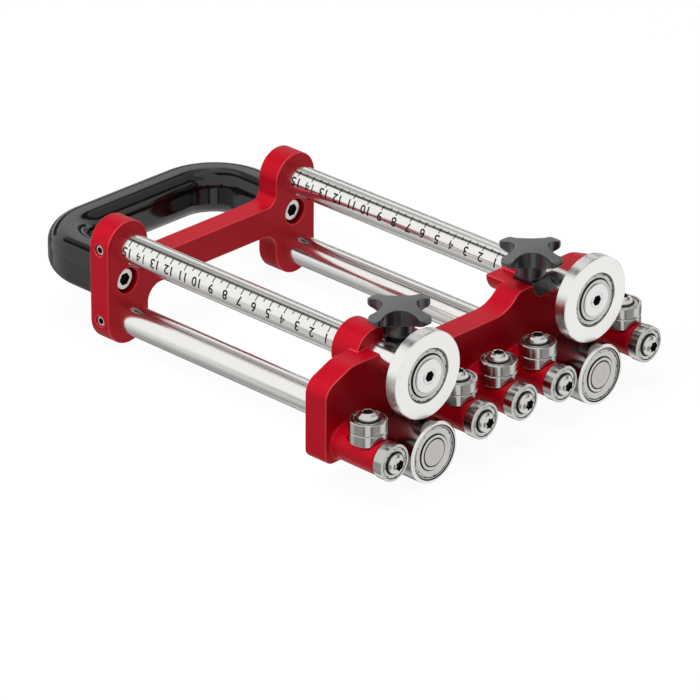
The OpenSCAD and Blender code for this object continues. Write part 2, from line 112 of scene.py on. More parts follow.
room = bpy.data.worlds.new("white_room")
scene.world = room
room.use_nodes = True
tree = room.node_tree
tree.nodes.clear()
seen = tree.nodes.new("ShaderNodeBackground")
seen.inputs["Color"].default_value = (1, 1, 1, 1)
seen.inputs["Strength"].default_value = 1.0
glow = tree.nodes.new("ShaderNodeBackground")
glow.inputs["Color"].default_value = (1, 1, 1, 1)
glow.inputs["Strength"].default_value = 0.15
path = tree.nodes.new("ShaderNodeLightPath")
either = tree.nodes.new("ShaderNodeMath")
either.operation = "MAXIMUM"
tree.links.new(path.outputs["Is Camera Ray"], either.inputs[0])
tree.links.new(path.outputs["Is Glossy Ray"], either.inputs[1])
any_seen = tree.nodes.new("ShaderNodeMath")
any_seen.operation = "MAXIMUM"
tree.links.new(either.outputs[0], any_seen.inputs[0])
tree.links.new(path.outputs["Is Transmission Ray"], any_seen.inputs[1])
choose = tree.nodes.new("ShaderNodeMixShader")
tree.links.new(any_seen.outputs[0], choose.inputs[0])
tree.links.new(glow.outputs[0], choose.inputs[1])
tree.links.new(seen.outputs[0], choose.inputs[2])
world_end = tree.nodes.new("ShaderNodeOutputWorld")
tree.links.new(choose.outputs[0], world_end.inputs["Surface"])


def soft_panel(name, place, aim, width, height, watts):
    """A rectangular soft light that looks at a spot."""
    data = bpy.data.lights.new(name, "AREA")
    data.shape = "RECTANGLE"
    data.size, data.size_y, data.energy = width, height, watts
    panel = bpy.data.objects.new(name, data)
    panel.location = place
    panel.rotation_mode = "QUATERNION"
    panel.rotation_quaternion = (Vector(aim) - Vector(place)).to_track_quat("-Z", "Y")
    scene.collection.objects.link(panel)
    panel.visible_glossy = False


soft_panel("panel_over", (-0.2, 0.1, 1.5), (0, 0, 0), 1.3, 1.3, 21.5)
soft_panel("panel_left", (-1.5, 0.15, 0.95), (0, 0, 0.03), 0.9, 0.9, 16)


def grey_card(name, shape, grey):
    """A card that only polished surfaces see."""
    data = bpy.data.meshes.new(name)
    shape.to_mesh(data)
    shape.free()
    card = bpy.data.objects.new(name, data)
    scene.collection.objects.link(card)
    card.visible_camera = card.visible_diffuse = card.visible_shadow = False
    card.visible_transmission = card.visible_volume_scatter = False
    paint = bpy.data.materials.new(name)
    paint.use_nodes = True
    paint.node_tree.nodes.clear()
    shine = paint.node_tree.nodes.new("ShaderNodeEmission")
    shine.inputs["Color"].default_value = (grey, grey, grey, 1)
    end = paint.node_tree.nodes.new("ShaderNodeOutputMaterial")
    paint.node_tree.links.new(shine.outputs[0], end.inputs["Surface"])
    data.materials.append(paint)
    card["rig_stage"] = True


def wall_card(name, start, stop, low, high, grey, radius=1.5):
    """A curved card round the table from one bearing to another, in degrees."""
    shape = bmesh.new()
    foot = shape.verts.new(
        (radius * math.cos(math.radians(start)), radius * math.sin(math.radians(start)), low))
    head = shape.verts.new((foot.co.x, foot.co.y, high))
    edge = shape.edges.new((foot, head))
    bmesh.ops.spin(shape, geom=[foot, head, edge], cent=(0, 0, 0), axis=(0, 0, 1),
                   angle=math.radians(stop - start), steps=12)
    grey_card(name, shape, grey)


wall_card("card_left", 142, 202, -1.4, -0.02, 0.40)
wall_card("card_left_line", 202, 210, -1.4, -0.02, 0.12)
wall_card("card_front_line", 239, 248, -1.4, -0.02, 0.08)
wall_card("card_front", 248, 296, -1.4, -0.02, 0.42)
wall_card("card_right", -22, 36, -1.4, -0.02, 0.32)
wall_card("card_rear", 36, 92, -1.9, 0.02, 0.26)
wall_card("card_rear_left_high", 92, 142, -0.80, -0.32, 0.74)
wall_card("card_rear_left_mid", 92, 142, -1.22, -0.80, 0.52)
wall_card("card_rear_left_low", 92, 142, -1.90, -1.22, 0.36)
wall_card("card_far_low", 15, 88, 0.22, 0.52, 0.06)
wall_card("card_far_line", -60, 43, 0.98, 1.40, 0.02)
wall_card("card_right_high", -95, 43, 1.40, 2.8, 0.50)
wall_card("card_far_high", 50, 92, 1.05, 1.75, 0.34)
over_size, over_place = (0.19, 0.9, 1), (-0.058, 0.52, 0.62)
over = bmesh.new()
bmesh.ops.create_grid(over, x_segments=1, y_segments=1, size=0.5)
bmesh.ops.scale(over, vec=over_size, verts=over.verts)
bmesh.ops.translate(over, vec=over_place, verts=over.verts)
grey_card("card_over", over, 0.02)

table_size, table_grey, table_glow, table_glow_share = 6, 0.42, 1.12, 0.84
table = bmesh.new()
bmesh.ops.create_grid(table, x_segments=1, y_segments=1, size=table_size)
table_data = bpy.data.meshes.new("table_top")
table.to_mesh(table_data)
table.free()
table_top = bpy.data.objects.new("table_top", table_data)
scene.collection.objects.link(table_top)
table_top.visible_glossy = False
pale = bpy.data.materials.new("pale_table")
pale.use_nodes = True
tree = pale.node_tree
tree.nodes.clear()
matt = tree.nodes.new("ShaderNodeBsdfDiffuse")
matt.inputs["Color"].default_value = (table_grey, table_grey, table_grey, 1)
lit = tree.nodes.new("ShaderNodeEmission")
lit.inputs["Color"].default_value = (1, 1, 1, 1)
lit.inputs["Strength"].default_value = table_glow
path = tree.nodes.new("ShaderNodeLightPath")
share = tree.nodes.new("ShaderNodeMath")
share.operation = "MULTIPLY"
share.inputs[1].default_value = table_glow_share
tree.links.new(path.outputs["Is Camera Ray"], share.inputs[0])
both = tree.nodes.new("ShaderNodeMixShader")
tree.links.new(share.outputs[0], both.inputs[0])
tree.links.new(matt.outputs[0], both.inputs[1])
tree.links.new(lit.outputs[0], both.inputs[2])
table_end = tree.nodes.new("ShaderNodeOutputMaterial")
tree.links.new(both.outputs[0], table_end.inputs["Surface"])
table_data.materials.append(pale)
table_top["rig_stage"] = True


# Rear bridge: an H-shaped plate sawn and milled from aluminium, blasted, its
# edges broken, and anodised red. Set screws hold the four rods in its lugs.
def grain_group(name, fine, sockets, details, ringed=False):
    """Node group: fine noise and broad clouds blended into a tone, the fine noise alone as a
    height. A ringed group varies along V of a piece's ring map only."""
    group = bpy.data.node_groups.new(name, "ShaderNodeTree")
    face = group.interface
    face.new_socket("Vector", in_out="INPUT", socket_type="NodeSocketVector")
    for label, value in zip((fine, "Cloud", "Cloud share"), sockets):
        face.new_socket(label, in_out="INPUT", socket_type="NodeSocketFloat").default_value = value
    for label in ("Tone", "Height"):
        face.new_socket(label, in_out="OUTPUT", socket_type="NodeSocketFloat")
    link = group.links.new
    inward = group.nodes.new("NodeGroupInput")
    outward = group.nodes.new("NodeGroupOutput")
    split = group.nodes.new("ShaderNodeSeparateXYZ") if ringed else None
    if ringed:
        link(inward.outputs["Vector"], split.inputs[0])
    made = []
    for label, detail in zip((fine, "Cloud"), details):
        noise = group.nodes.new("ShaderNodeTexNoise")
        noise.inputs["Detail"].default_value = detail
        if ringed:
            noise.noise_dimensions = "1D"
            link(split.outputs["Y"], noise.inputs["W"])
        else:
            link(inward.outputs["Vector"], noise.inputs["Vector"])
        link(inward.outputs[label], noise.inputs["Scale"])
        made.append(noise)
    blend = group.nodes.new("ShaderNodeMix")
    blend.data_type = "FLOAT"
    link(inward.outputs["Cloud share"], blend.inputs[0])
    link(made[0].outputs["Fac"], blend.inputs[2])
    link(made[1].outputs["Fac"], blend.inputs[3])
    link(blend.outputs[0], outward.inputs["Tone"])
    link(made[0].outputs["Fac"], outward.inputs["Height"])
    return group


fine_grain = grain_group("fine_grain", "Grain", (2500, 30, 0.5), (2, 4))


def finish(name, dark, light, rough, metal, group=fine_grain, stretch=(1, 1, 1),
           values=(), bump=0.0, depth=0.00002, gloss=0.5, coords="Object"):
    """A surface whose colour, roughness and relief come from a grain group."""
    made = bpy.data.materials.new(name)
    made.use_nodes = True
    web = made.node_tree
    link = web.links.new
    shader = web.nodes["Principled BSDF"]
    where = web.nodes.new("ShaderNodeTexCoord")
    turn = web.nodes.new("ShaderNodeMapping")
    turn.inputs["Scale"].default_value = stretch
    link(where.outputs[coords], turn.inputs["Vector"])
    effect = web.nodes.new("ShaderNodeGroup")
    effect.node_tree = group
    link(turn.outputs["Vector"], effect.inputs["Vector"])
    for label, value in values:
        effect.inputs[label].default_value = value
    colour = web.nodes.new("ShaderNodeMix")
    colour.data_type = "RGBA"
    colour.inputs[6].default_value = (*dark, 1)
    colour.inputs[7].default_value = (*light, 1)
    link(effect.outputs["Tone"], colour.inputs[0])
    link(colour.outputs[2], shader.inputs["Base Color"])
    scuff = web.nodes.new("ShaderNodeMapRange")
    scuff.inputs["From Min"].default_value = 0.25
    scuff.inputs["From Max"].default_value = 0.75
    scuff.inputs["To Min"].default_value = rough[0]
    scuff.inputs["To Max"].default_value = rough[1]
    link(effect.outputs["Tone"], scuff.inputs["Value"])
    link(scuff.outputs["Result"], shader.inputs["Roughness"])
    shader.inputs["Metallic"].default_value = metal
    shader.inputs["Specular IOR Level"].default_value = gloss
    if bump:
        relief = web.nodes.new("ShaderNodeBump")
        relief.inputs["Strength"].default_value = bump
        relief.inputs["Distance"].default_value = depth
        link(effect.outputs["Height"], relief.inputs["Height"])
        link(relief.outputs["Normal"], shader.inputs["Normal"])
    return made


red_anodised = finish("red_anodised", (0.43, 0.001, 0.009), (0.56, 0.002, 0.019), (0.34, 0.44),
                      0.3, bump=0.25, depth=0.00004, gloss=0.18)
# The broken edges of the bridge and carriage take a paler red: a painted highlight.
red_edge_highlight = finish("red_edge_highlight", (0.66, 0.03, 0.045), (0.80, 0.06, 0.08), (0.24, 0.34), 0.45,
                  bump=0.1, gloss=0.4)


def paint(node, material):
    """Gives a carried-over node its finish."""
    nodes[node].data.materials.clear()
    nodes[node].data.materials.append(material)


def settle(shape, name, body, materials, replaced, smooth=19):
    """Turns a finished shape into a piece that rides on a body in place of some nodes."""
    data = bpy.data.meshes.new(name)
    shape.to_mesh(data)
    shape.free()
    if "custom_normal" in data.attributes:
        data.attributes.remove(data.attributes["custom_normal"])
    data.shade_smooth()
    data.set_sharp_from_angle(angle=math.radians(smooth))
    for material in materials:
        data.materials.append(material)
    piece = bpy.data.objects.new(name, data)
    scene.collection.objects.link(piece)
    flats = piece.modifiers.new("flats", "WEIGHTED_NORMAL")
    flats.weight, flats.keep_sharp = 100, True
    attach(piece, body)
    if replaced:
        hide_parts(*replaced)


def broken_edges(node, width, segments=2, spare=lambda point: False, marked=False):
    """A copy of a node with its sharp edges broken by a small round, but for the spared ones.
    Marked edges take the piece's second material."""
    weld, shortest, flattest, sharpest = 4e-6, 2e-6, math.radians(0.6), math.radians(28)
    shape = bmesh.new()
    shape.from_mesh(nodes[node].data)
    bmesh.ops.remove_doubles(shape, verts=shape.verts, dist=weld)
    bmesh.ops.dissolve_degenerate(shape, edges=shape.edges, dist=shortest)
    bmesh.ops.dissolve_limit(shape, angle_limit=flattest, verts=shape.verts, edges=shape.edges)
    for face in shape.faces:
        face.material_index = 0
    edges = [e for e in shape.edges
             if len(e.link_faces) == 2 and e.calc_face_angle(0) > sharpest
             and not spare((e.verts[0].co + e.verts[1].co) / 2)]
    made = bmesh.ops.bevel(shape, geom=edges, offset=width, offset_type="OFFSET",
                           segments=segments, profile=0.5, affect="EDGES",
                           clamp_overlap=False, material=-1)
    for face in made["faces"] if marked else []:
        face.material_index = 1
    return shape


rod_places = []
for rod in ("upper_rod_left", "upper_rod_right", "lower_rod_left", "lower_rod_right"):
    low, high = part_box(rod)
    rod_places.append(((low.x + high.x) / 2, (low.z + high.z) / 2, (high.x - low.x) / 2))
rim_reach = 0.0003


def at_a_rod(point):
    """Whether a point lies on the rim of a rod's hole, which stays sharp."""
    return any(math.hypot(point.x - x, point.z - z) < r + rim_reach for x, z, r in rod_places)


plate_edge = 0.0005
# Its broken edges take the paler red, a painted highlight.
settle(broken_edges("rear_bridge", plate_edge, spare=at_a_rod, marked=True), "bridge_plate",
       "frame", [red_anodised, red_edge_highlight], ["rear_bridge"])

# Guide rods: four centreless-ground steel bars in the bridge's lugs. Grinding
# leaves long faint streaks along them. The lower two are made with the rollers.
ground_steel = finish("ground_steel", (0.80, 0.785, 0.76), (0.92, 0.91, 0.89), (0.14, 0.22), 1.0,
                      stretch=(1, 0.06, 1),
                      values=(("Grain", 1400), ("Cloud", 240), ("Cloud share", 0.5)), bump=0.12)
for side in ("left", "right"):
    paint("upper_rod_" + side, ground_steel)

# Rod set screws: small nickel grub screws in the lugs' outer sides, which hold
# the rods. Each has a hex socket, painted dark inside as shade.
# Painted shade: the dark colour inside screw sockets.
socket_painted_shade = finish("socket_painted_shade", (0.014, 0.013, 0.012), (0.040, 0.038, 0.036), (0.35, 0.5),
                     0.5)
nickel = finish("nickel", (0.48, 0.465, 0.44), (0.66, 0.645, 0.62), (0.16, 0.28), 1.0,
                bump=0.15)


def dark_inside(shape, reach, across):
    """Paints shade, as a dark colour, on what lies within a reach of each separate solid's
    own axis, which runs along X (0), Y (1) or Z (2): the inside of a socket."""
    left = set(shape.faces)
    while left:
        group, fresh = set(), [left.pop()]
        while fresh:
            face = fresh.pop()
            group.add(face)
            for edge in face.edges:
                for other in edge.link_faces:
                    if other in left:
                        left.remove(other)
                        fresh.append(other)
        points = [v.co for face in group for v in face.verts]
        middle = [(min(p[i] for p in points) + max(p[i] for p in points)) / 2 for i in range(3)]
        i, j = [axis for axis in range(3) if axis != across]
        for face in group:
            if all(math.hypot(v.co[i] - middle[i], v.co[j] - middle[j]) < reach
                   for v in face.verts):
                face.material_index = 1
    return shape


settle(dark_inside(broken_edges("rod_set_screws", 0.00012), reach=0.00205, across=0),
       "rod_grub_screws", "frame", [nickel, socket_painted_shade], ["rod_set_screws"])

# Depth scale: a long line each ten millimetres with its number, and a short one
# each five, burnt black into each upper rod by laser. The numbers stand on their
# heads when seen from the left.
laser_black = finish("laser_black", (0.004, 0.004, 0.004), (0.012, 0.012, 0.012), (0.5, 0.65),
                     0.0, bump=0.2, gloss=0.2)
half_step, last_number = 0.005, 15
line_wide, long_line, short_line = 0.00058, 0.0033, 0.0019
numeral_size, numeral_place, numeral_weight = 0.0070, 0.0063, 0.00012
strip, strips = 0.0008, 14
surface = 0.008 + 0.00002
scale_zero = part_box("carriage_body")[1].y - 0.0008


def line_mark(marks, x, width, height):
    """A flat line at a distance x along the scale, its foot on the scale's edge."""
    made = bmesh.ops.create_grid(marks, x_segments=1, y_segments=4, size=0.5)
    bmesh.ops.scale(marks, vec=(width, height, 1), verts=made["verts"])
    bmesh.ops.translate(marks, vec=(x, height / 2, 0), verts=made["verts"])


def numeral_mark(marks, x, number):
    """A flat number at a distance x along the scale. A 4 keeps its stroke, or its eye fills."""
    letters = bpy.data.curves.new("number", "FONT")
    letters.body = str(number)
    letters.align_x = "CENTER"
    letters.align_y = "CENTER"
    letters.size = numeral_size
    letters.offset = 0 if "4" in letters.body else numeral_weight
    letters.resolution_u = 4
    holder = bpy.data.objects.new("number", letters)
    scene.collection.objects.link(holder)
    bpy.context.view_layer.update()
    flat = bpy.data.meshes.new_from_object(holder)
    before = set(marks.verts)
    marks.from_mesh(flat)
    fresh = [v for v in marks.verts if v not in before]
    bmesh.ops.translate(marks, vec=(x, numeral_place, 0), verts=fresh)
    bpy.data.objects.remove(holder)
    bpy.data.meshes.remove(flat)
    bpy.data.curves.remove(letters)


for side, top_angle in (("left", 31), ("right", 25)):
    # The rod's facets leave its box a hair narrow, so its axis is rounded.
    low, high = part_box("upper_rod_" + side)
    axis = Vector((round((low.x + high.x) / 2, 4), 0, round((low.z + high.z) / 2, 4)))
    marks = bmesh.new()
    for half in range(1, 2 * last_number + 1):
        line_mark(marks, half * half_step, line_wide, short_line if half % 2 else long_line)
    for number in range(1, last_number + 1):
        numeral_mark(marks, number * 2 * half_step, number)
    # The flat scale is cut into strips and wrapped round the rod.
    for step in range(1, strips):
        bmesh.ops.bisect_plane(marks, geom=marks.verts[:] + marks.edges[:] + marks.faces[:],
                               plane_co=(0, step * strip, 0), plane_no=(0, 1, 0))
    for v in marks.verts:
        turn = math.radians(top_angle) + v.co.y / surface
        v.co = (axis.x - surface * math.sin(turn), scale_zero + v.co.x,
                axis.z + surface * math.cos(turn))
    bmesh.ops.recalc_face_normals(marks, faces=marks.faces)
    for face in marks.faces:
        outward = face.calc_center_median() - axis
        if face.normal.x * outward.x + face.normal.z * outward.z < 0:
            face.normal_flip()
    settle(marks, "depth_scale_" + side, "frame", [laser_black], [])

# Handle: a D loop moulded in glossy black plastic with a faint orange-peel skin,
# round-cornered in section. Two cap screws hold it in brass inserts.
handle_low, handle_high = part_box("handle")
handle_wide, handle_tall, handle_round, handle_bend = 0.022, 0.025, 0.009, 0.027
insert_r, insert_deep = 0.00602, 0.018
leg_x = handle_high.x - handle_wide / 2
handle_z = (handle_low.z + handle_high.z) / 2
bend_y = handle_high.y - handle_wide / 2 - handle_bend
upright = Matrix.Rotation(math.pi / 2, 3, "X")
loop = bmesh.new()
bmesh.ops.create_grid(loop, x_segments=1, y_segments=1, size=0.5)
bmesh.ops.scale(loop, vec=(handle_wide, handle_tall, 1), verts=loop.verts)
bmesh.ops.bevel(loop, geom=loop.verts[:], offset=handle_round, offset_type="OFFSET", segments=12,
                profile=0.5, affect="VERTICES", clamp_overlap=False, material=-1)
bmesh.ops.rotate(loop, cent=(0, 0, 0), matrix=upright, verts=loop.verts)
bmesh.ops.translate(loop, vec=(leg_x, handle_low.y, handle_z), verts=loop.verts)
bmesh.ops.delete(loop, geom=loop.faces[:], context="FACES_ONLY")
first_end = loop.edges[:]


def led_on(edges, vec):
    """Draws a section on in a straight line, and gives its new edges."""
    old = {v for e in edges for v in e.verts}
    made = bmesh.ops.extrude_edge_only(loop, edges=edges)["geom"]
    fresh = [g for g in made if isinstance(g, bmesh.types.BMVert)]
    bmesh.ops.translate(loop, vec=vec, verts=fresh)
    return [g for g in made if isinstance(g, bmesh.types.BMEdge)
            and not any(v in old for v in g.verts)]


def bent_on(edges, centre):
    """Draws a section on round a bend of a quarter turn, and gives its new edges."""
    made = bmesh.ops.spin(loop, geom=edges, cent=centre, axis=(0, 0, 1), angle=math.pi / 2,
                          steps=28)
    return [g for g in made["geom_last"] if isinstance(g, bmesh.types.BMEdge)]


drawn = led_on(first_end, (0, bend_y - handle_low.y, 0))
drawn = bent_on(drawn, (leg_x - handle_bend, bend_y, 0))
drawn = led_on(drawn, (2 * (handle_bend - leg_x), 0, 0))
drawn = bent_on(drawn, (handle_bend - leg_x, bend_y, 0))
last_end = led_on(drawn, (0, handle_low.y - bend_y, 0))
for x, rim in ((leg_x, first_end), (-leg_x, last_end)):
    hole = bmesh.ops.create_circle(loop, cap_ends=False, radius=insert_r, segments=52)["verts"]
    bmesh.ops.rotate(loop, cent=(0, 0, 0), matrix=upright, verts=hole)
    bmesh.ops.translate(loop, vec=(x, handle_low.y, handle_z), verts=hole)
    hole_rim = list({e for v in hole for e in v.link_edges})
    bmesh.ops.bridge_loops(loop, edges=rim + hole_rim)
    bottom = led_on(hole_rim, (0, insert_deep, 0))
    bmesh.ops.edgeloop_fill(loop, edges=bottom)
bmesh.ops.remove_doubles(loop, verts=loop.verts, dist=1e-6)
bmesh.ops.recalc_face_normals(loop, faces=loop.faces)
gloss_plastic = finish("gloss_plastic", (0.0035, 0.0035, 0.004), (0.0065, 0.0065, 0.0075),
                       (0.07, 0.12), 0.0,
                       values=(("Grain", 260), ("Cloud", 60), ("Cloud share", 0.6)),
                       bump=0.06, depth=0.0002)
settle(loop, "handle_loop", "frame", [gloss_plastic], ["handle"], smooth=40)
brass = finish("brass", (0.55, 0.36, 0.11), (0.70, 0.48, 0.18), (0.25, 0.38), 1.0, bump=0.2)
paint("handle_inserts", brass)
# The cap screws' sockets are painted dark as shade.
settle(dark_inside(broken_edges("handle_screws", 0.0003, segments=3), reach=0.0037, across=1),
       "handle_cap_screws", "frame", [nickel, socket_painted_shade], ["handle_screws"])

# Carriage: a thick plate with a round-cornered saddle, bosses for the upper rods
# and an ear beside each, milled from one block, edges broken, anodised red.
# Its broken edges take the paler red, a painted highlight.
settle(broken_edges("carriage_body", plate_edge, spare=at_a_rod, marked=True), "carriage_plate",
       "carriage", [red_anodised, red_edge_highlight], ["carriage_body"])

# Clamp sleeves: half-round blued steel bars in the grooves beside the upper rods.
# The knobs press them against the rods with studs of the same steel.
blued_steel = finish("blued_steel", (0.05, 0.05, 0.055), (0.10, 0.10, 0.105), (0.30, 0.42), 1.0,
                     bump=0.15)
for node in ("clamp_sleeves", "knob_stud_left", "knob_stud_right"):
    paint(node, blued_steel)

# Arms: turned aluminium bars with a milled seat on top, anodised with the plate
# and bolted to it from behind by blued cap screws.
for number in range(1, 6):
    node = f"arm_{number}"
    settle(broken_edges(node, 0.0004), f"arm_bar_{number}", "carriage",
           [red_anodised], [node])
# The arm screws' sockets are painted dark as shade.
settle(dark_inside(broken_edges("arm_screws", 0.00025), reach=0.0025, across=1),
       "arm_cap_screws", "carriage", [blued_steel, socket_painted_shade], ["arm_screws"])

# Star knobs: four-lobed stars with a collar, moulded in dark grey plastic. Their
# tops are matt and painted paler, as lit from above; their sides are smoother, and
# their rounded rims carry a painted highlight.
smooth_skin = (("Grain", 1800), ("Cloud", 50), ("Cloud share", 0.4))
knob_plastic = finish("knob_plastic", (0.018, 0.018, 0.020), (0.036, 0.036, 0.039), (0.16, 0.26),
                      0.0, values=smooth_skin, bump=0.35, depth=0.00005, gloss=0.8)
# The rims' paler colour is a painted highlight.
knob_rim_highlight = finish("knob_rim_highlight", (0.07, 0.07, 0.074), (0.11, 0.11, 0.116), (0.24, 0.34), 0.0,
                  values=smooth_skin, bump=0.1, gloss=0.7)
# The tops' paler colour is painted light from above.
knob_top_painted_light = finish("knob_top_painted_light", (0.060, 0.060, 0.063), (0.125, 0.125, 0.13), (0.34, 0.46), 0.0,
                  values=(("Grain", 1500), ("Cloud", 60), ("Cloud share", 0.35)), bump=0.5,
                  depth=0.00006)
facing_up = 0.5
for side in ("left", "right"):
    star = broken_edges("knob_" + side, 0.00045, segments=3, marked=True)
    # Faces turned up take the paler top: painted light from above.
    for face in star.faces:
        if face.material_index == 0 and face.normal.z > facing_up:
            face.material_index = 2
    settle(star, "star_knob_" + side, "knob_" + side,
           [knob_plastic, knob_rim_highlight, knob_top_painted_light], ["knob_" + side], smooth=30)

# Small guide bearings: one on the end of each arm and two stacked on its seat.
# Each outer ring carries two pressed shields, crimped all round with small nicks.
ring_marks = grain_group("ring_marks", "Rings", (60, 5, 0.4), (3, 2), ringed=True)
bearing_steel = finish("bearing_steel", (0.47, 0.46, 0.44), (0.60, 0.59, 0.57), (0.15, 0.23), 1.0,
                       group=ring_marks, values=(("Rings", 25),), bump=0.04, coords="UV")
# Painted shade for gaps, grooves, nicks and chamfered seats in the turned parts.
gap_painted_shade = finish("gap_painted_shade", (0.008, 0.0075, 0.007), (0.03, 0.028, 0.026), (0.5, 0.65), 0.3,
                  group=ring_marks, coords="UV", gloss=0.3)
map_per_metre = 100
to_front = Matrix.Rotation(math.pi / 2, 4, "X")


def turned(profile, place, steps=64, closed=False):
    """A shape turned about its Z axis from (radius, height) points in mm, then put in place."""
    shape = bmesh.new()
    line = [shape.verts.new((r * 0.001, 0, h * 0.001)) for r, h in profile]
    pairs = list(zip(line, line[1:])) + ([(line[-1], line[0])] if closed else [])
    edges = [shape.edges.new(pair) for pair in pairs]
    bmesh.ops.spin(shape, geom=line + edges, cent=(0, 0, 0), axis=(0, 0, 1), angle=2 * math.pi,
                   steps=steps, use_merge=True)
    bmesh.ops.remove_doubles(shape, verts=shape.verts, dist=1e-6)
    bmesh.ops.recalc_face_normals(shape, faces=shape.faces)
    ring_map = shape.loops.layers.uv.new("ring_map")
    for face in shape.faces:
        for corner in face.loops:
            p = corner.vert.co
            corner[ring_map].uv = (math.atan2(p.y, p.x) / (2 * math.pi),
                                   (math.hypot(p.x, p.y) + p.z) * map_per_metre)
    bmesh.ops.transform(shape, matrix=place, verts=shape.verts)
    return shape


def along(node, forward=True):
    """The place of a turned piece on a node's axis: its Z runs to the front, or up."""
    low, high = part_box(node)
    middle = (low + high) / 2
    if forward:
        return Matrix.Translation((middle.x, high.y, middle.z)) @ to_front
    return Matrix.Translation((middle.x, middle.y, low.z))


def shielded_ring(place, od, width, bore, inner, crimp, steps, nick_every, sink=0):
    """A bearing's outer ring, in mm: in each face a shield, which reaches in to one radius and
    is crimped at another. Nicks are pressed in along the crimp, and the faces may be sunk.
    The crimp's groove, the gap under the lip and the nicks are painted dark as shade."""
    r = od / 2
    half = [(bore, 0.75), (inner, 0.75), (inner + 0.02, 0.55), (inner + 0.25, 0.42),
            (crimp - 1.25, 0.38), (crimp - 1.05, 0.2), (crimp - 0.9, 0.12), (crimp - 0.52, 0.14),
            (crimp - 0.3, 0.3), (crimp - 0.28, 0.6), (crimp, 0.6), (crimp + 0.03, 0.1),
            (crimp + 0.14, 0), (r - 0.45, 0), (r - 0.36, 0.03), (r - 0.03, 0.36), (r, 0.45)]
    half = [(a, b + sink) for a, b in half]
    top = [(a, width - b) for a, b in half]
    shape = turned(half + top[::-1], Matrix.Identity(4), steps, closed=True)
    nicks = []
    for face in shape.faces:
        p = face.calc_center_median()
        from_axis = math.hypot(p.x, p.y) * 1000
        level = min(p.z * 1000, width - p.z * 1000) - sink
        in_crimp_groove = crimp - 0.32 < from_axis < crimp + 0.02 and level > 0.2
        under_lip = min(bore, inner) - 0.05 < from_axis < inner + 0.2 and level > 0.46
        on_crimp_roll = crimp - 0.88 < from_axis < crimp - 0.52 and level < 0.3
        # Painted shade in the crimp's groove and under the shield's lip.
        if in_crimp_groove or under_lip:
            face.material_index = 1
        if on_crimp_roll:
            place_round = round(math.atan2(p.y, p.x) / (2 * math.pi) * steps - 0.5)
            if place_round % nick_every == 0:
                nicks.append(face)
    nick_depth = 0.0003
    made = bmesh.ops.extrude_discrete_faces(shape, faces=nicks)
    # The nicks are painted dark as shade.
    for face in made["faces"]:
        face.material_index = 1
        bmesh.ops.translate(shape, vec=-face.normal * nick_depth, verts=face.verts)
    bmesh.ops.transform(shape, matrix=place, verts=shape.verts)
    return shape


for number in range(1, 6):
    for node, forward in ((f"front_bearing_{number}", True), (f"stack_{number}_lower", False),
                          (f"stack_{number}_upper", False)):
        low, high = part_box(node)
        width = (high.y - low.y if forward else high.z - low.z) * 1000
        settle(shielded_ring(along(node, forward), od=19, width=width, bore=4.95, inner=5.85,
                             crimp=8.05, steps=64, nick_every=8),
               node + "_ring", nodes[node]["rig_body"], [bearing_steel, gap_painted_shade],
               [node])
inner_steel = finish("inner_steel", (0.46, 0.45, 0.43), (0.66, 0.65, 0.63), (0.18, 0.28), 1.0,
                     bump=0.1)
for node in ("front_inner_rings", "stack_inner_rings"):
    paint(node, inner_steel)


# Button-head screws: they hold the small bearings, one in each arm's end and one
# down through each stack. A domed head with a six-lobed socket, nickel bright.
def button_head(place, length):
    """A domed screw with a six-lobed socket, in mm, head upwards from its seat."""
    dome_r, dome_rise, dome_base, shank_r = 5.25, 3.66, 0.3, 3
    socket_floor, socket_r, lobe_middle, lobe_swing = 1.3, 2.75, 0.92, 0.11
    dome = [(dome_r * math.cos(math.radians(a)), dome_base + dome_rise * math.sin(math.radians(a)))
            for a in range(0, 56, 5)]
    profile = [(0, socket_floor), (socket_r, 1.35), (2.8, 3.15), (2.9, 3.3)] + dome[::-1]
    profile += [(5.2, 0.08), (5.1, 0), (shank_r, 0), (shank_r, 0.4 - length), (2.6, -length),
                (0, -length)]
    shape = turned(profile, Matrix.Identity(4), 60)
    for v in shape.verts:
        if v.co.z > 0.001 and 0.5 < math.hypot(v.co.x, v.co.y) * 1000 < 2.92:
            lobes = lobe_middle + lobe_swing * math.cos(6 * math.atan2(v.co.y, v.co.x))
            v.co.x, v.co.y = v.co.x * lobes, v.co.y * lobes
    # The socket's faces are painted dark as shade.
    for face in shape.faces:
        p = face.calc_center_median()
        if 0.0008 < p.z < 0.0032 and math.hypot(p.x, p.y) * 1000 < 2.85:
            face.material_index = 1
    bmesh.ops.transform(shape, matrix=place, verts=shape.verts)
    return shape


def merged(shapes):
    """Several shapes in one."""
    whole = bmesh.new()
    for shape in shapes:
        carry = bpy.data.meshes.new("carry")
        shape.to_mesh(carry)
        shape.free()
        whole.from_mesh(carry)
        bpy.data.meshes.remove(carry)
    return whole


turned_nickel = finish("turned_nickel", (0.50, 0.49, 0.475), (0.72, 0.71, 0.69), (0.12, 0.22),
                       1.0, group=ring_marks, bump=0.15, coords="UV")
front_length, stack_length = 13.5, 21.5
front_turn, stack_turn = 0.4, 0.3
front_heads, stack_heads = [], []
for number in range(1, 6):
    low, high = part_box(f"front_bearing_{number}")
    middle = (low + high) / 2
    front_heads.append(button_head(Matrix.Translation((middle.x, low.y, middle.z)) @ to_front
                                   @ Matrix.Rotation(number * front_turn, 4, "Z"), front_length))
    low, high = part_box(f"stack_{number}_upper")
    middle = (low + high) / 2
    stack_heads.append(button_head(Matrix.Translation((middle.x, middle.y, high.z))
                                   @ Matrix.Rotation(number * stack_turn, 4, "Z"), stack_length))
settle(merged(front_heads), "front_button_screws", "carriage",
       [turned_nickel, socket_painted_shade], ["front_screws"])
settle(merged(stack_heads), "stack_button_screws", "carriage",
       [turned_nickel, socket_painted_shade], ["stack_screws"])

